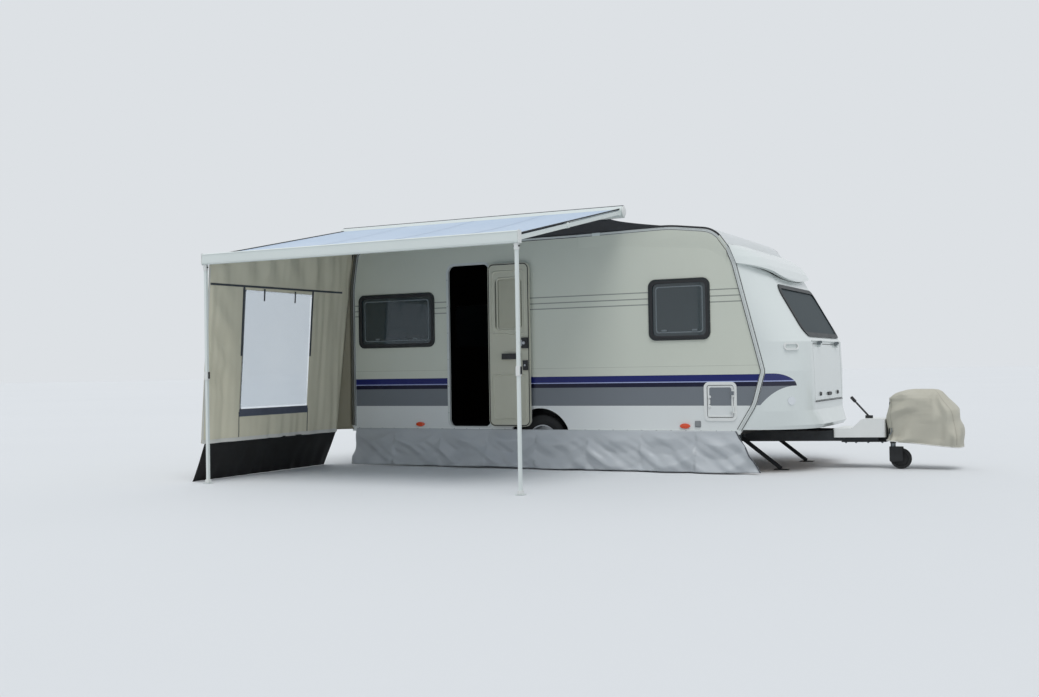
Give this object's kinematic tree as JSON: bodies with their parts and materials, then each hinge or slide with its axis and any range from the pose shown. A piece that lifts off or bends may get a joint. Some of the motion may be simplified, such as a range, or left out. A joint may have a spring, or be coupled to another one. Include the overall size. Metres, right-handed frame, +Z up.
{
  "type": "travel caravan with its awning set up",
  "caption": "Touring caravan on its wheels, jockey wheel and steadies, with a roll-out awning, entry door folded back, opening hatches and a covered ball coupling.",
  "frame": {"origin": "on the ground, under the middle of the whole object's box, awning included", "axes": "+X forwards to the coupling, +Y to the side away from the door and awning, +Z up"},
  "size_m": [6.984, 4.914, 2.854],
  "materials": {
    "side_panel": "smooth ivory-white lacquered sheet",
    "roof_skin": "white lacquered sheet",
    "plywood": "plain board",
    "nose_moulding": "white glossy moulding",
    "window_frame": "dark grey",
    "tinted_pane": "grey tinted acrylic",
    "alloy_trim": "light grey extrusion",
    "zinc_steel": "galvanised",
    "door_skin": "smooth lacquered",
    "black_plastic": "black",
    "white_plastic": "white",
    "lamp_lens": "coloured lens",
    "tyre": "black",
    "wheel_steel": "silver paint",
    "black_steel": "black paint",
    "gaiter_rubber": "black",
    "jockey_rubber": "black solid rubber",
    "cover_fabric": "beige coated cloth",
    "awning_alloy": "white coated",
    "awning_cloth": "pale blue-grey coated cloth",
    "panel_cloth": "beige cloth",
    "clear_film": "clear soft film",
    "flap_cloth": "black cloth",
    "skirt_cloth": "silver-grey coated cloth"
  },
  "bodies": {
    "caravan": {"awning_brackets": "awning_alloy", "awning_cassette": "awning_alloy", "awning_fabric": "awning_cloth", "awning_lead_rail": "awning_alloy", "awning_poles": "awning_alloy", "axle_beam": "zinc_steel", "body_trims": "alloy_trim", "chassis_rails": "zinc_steel", "coupling_head": "zinc_steel", "cross_members": "zinc_steel", "door_frame": "alloy_trim", "drawbar_cover": "white_plastic", "drawbar_legs": "zinc_steel", "end_panel": "panel_cloth", "end_panel_window": "clear_film", "floor_panel": "plywood", "fridge_vents": "white_plastic", "front_brow": "nose_moulding", "front_shell": "nose_moulding", "gaiter": "gaiter_rubber", "gas_locker_box": "plywood", "grab_handles": "white_plastic", "ground_flap": "flap_cloth", "handbrake_lever": "black_steel", "hinge_brackets": "zinc_steel", "hitch_cover": "cover_fabric", "jockey_tube": "black_steel", "lamps": "lamp_lens", "overrun_housing": "black_steel", "rear_light_bar": "nose_moulding", "rear_wall": "side_panel", "roof_fittings": "white_plastic", "roof_panel": "roof_skin", "service_hatch_frame": "white_plastic", "side_wall_left": "side_panel", "side_wall_right": "side_panel", "skirt": "skirt_cloth", "steady_pins": "zinc_steel", "wheel_boxes": "black_plastic", "window_frames": "window_frame", "window_panes": "tinted_pane"},
    "entry_door": {"entry_door_leaf": "door_skin", "entry_door_pane": "tinted_pane", "entry_door_fittings": "black_plastic"},
    "service_hatch": {"service_hatch": "door_skin"},
    "gas_locker_lid": {"gas_locker_lid": "nose_moulding"},
    "roof_hatch": {"roof_hatch": "white_plastic"},
    "wheel_right": {"tyre_right": "tyre", "rim_right": "wheel_steel"},
    "wheel_left": {"tyre_left": "tyre", "rim_left": "wheel_steel"},
    "jockey_leg": {"jockey_leg": "zinc_steel"},
    "jockey_fork": {"jockey_fork": "black_steel"},
    "jockey_wheel": {"jockey_wheel": "jockey_rubber"},
    "steady_front_right": {"steady_front_right": "zinc_steel"},
    "steady_front_left": {"steady_front_left": "zinc_steel"},
    "steady_rear_right": {"steady_rear_right": "zinc_steel"},
    "steady_rear_left": {"steady_rear_left": "zinc_steel"}
  },
  "joints": [
    {"name": "entry_door_hinge", "type": "hinge", "parent": "caravan", "child": "entry_door", "pos_m": [-1.443, 0.116, 1.4], "axis": [0, 0, 1], "range_deg": [-180, 0]},
    {"name": "service_hatch_hinge", "type": "hinge", "parent": "caravan", "child": "service_hatch", "pos_m": [1.398, 0.113, 0.74], "axis": [0, 0, 1], "range_deg": [0, 95]},
    {"name": "gas_locker_hinge", "type": "hinge", "parent": "caravan", "child": "gas_locker_lid", "pos_m": [2.14, 1.281, 1.327], "axis": [0, -1, 0], "range_deg": [0, 85]},
    {"name": "roof_hatch_hinge", "type": "hinge", "parent": "caravan", "child": "roof_hatch", "pos_m": [-2.084, 1.281, 2.634], "axis": [0, -1, 0], "range_deg": [0, 60]},
    {"name": "wheel_right_spin", "type": "hinge", "parent": "caravan", "child": "wheel_right", "pos_m": [-0.824, 0.271, 0.3], "axis": [0, 1, 0], "continuous": true},
    {"name": "wheel_left_spin", "type": "hinge", "parent": "caravan", "child": "wheel_left", "pos_m": [-0.824, 2.291, 0.3], "axis": [0, 1, 0], "continuous": true},
    {"name": "jockey_lift", "type": "slide", "parent": "caravan", "child": "jockey_leg", "axis": [0, 0, 1], "range_m": [-0.12, 0.03]},
    {"name": "jockey_swivel", "type": "hinge", "parent": "jockey_leg", "child": "jockey_fork", "pos_m": [2.808, 1.169, 0.23], "axis": [0, 0, 1], "continuous": true},
    {"name": "jockey_wheel_spin", "type": "hinge", "parent": "jockey_fork", "child": "jockey_wheel", "pos_m": [2.886, 1.169, 0.108], "axis": [0, 1, 0], "continuous": true},
    {"name": "steady_front_right_fold", "type": "hinge", "parent": "caravan", "child": "steady_front_right", "pos_m": [1.296, 0.709, 0.345], "axis": [0, -1, 0], "range_deg": [0, 36]},
    {"name": "steady_front_left_fold", "type": "hinge", "parent": "caravan", "child": "steady_front_left", "pos_m": [1.296, 1.853, 0.345], "axis": [0, -1, 0], "range_deg": [0, 36]},
    {"name": "steady_rear_right_fold", "type": "hinge", "parent": "caravan", "child": "steady_rear_right", "pos_m": [-2.784, 0.709, 0.345], "axis": [0, 1, 0], "range_deg": [0, 36]},
    {"name": "steady_rear_left_fold", "type": "hinge", "parent": "caravan", "child": "steady_rear_left", "pos_m": [-2.784, 1.853, 0.345], "axis": [0, 1, 0], "range_deg": [0, 36]}
  ]
}
